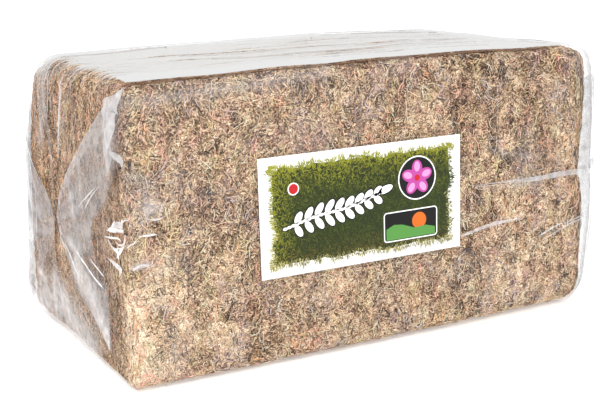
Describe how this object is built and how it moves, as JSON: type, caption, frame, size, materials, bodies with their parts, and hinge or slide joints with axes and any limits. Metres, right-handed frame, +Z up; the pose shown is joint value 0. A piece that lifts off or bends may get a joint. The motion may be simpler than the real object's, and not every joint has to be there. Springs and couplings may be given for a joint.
{
  "type": "wrapped moss bale",
  "caption": "Rectangular bale of pressed dried moss in a clear film wrap, folded like an envelope at the ends, with a paper label on the front.",
  "frame": {"origin": "centre of the base, on the surface that the bale rests on", "axes": "+X along the length, from the left end to the right end; +Y from the labelled front to the back; +Z up"},
  "size_m": [0.5686, 0.3186, 0.2963],
  "materials": {
    "moss": "matt, tangled dry fibre",
    "film": "clear, glossy, creased",
    "label": "printed, satin"
  },
  "bodies": {
    "root": {"moss_block": "moss", "film_wrap": "film", "label": "label"}
  },
  "joints": []
}
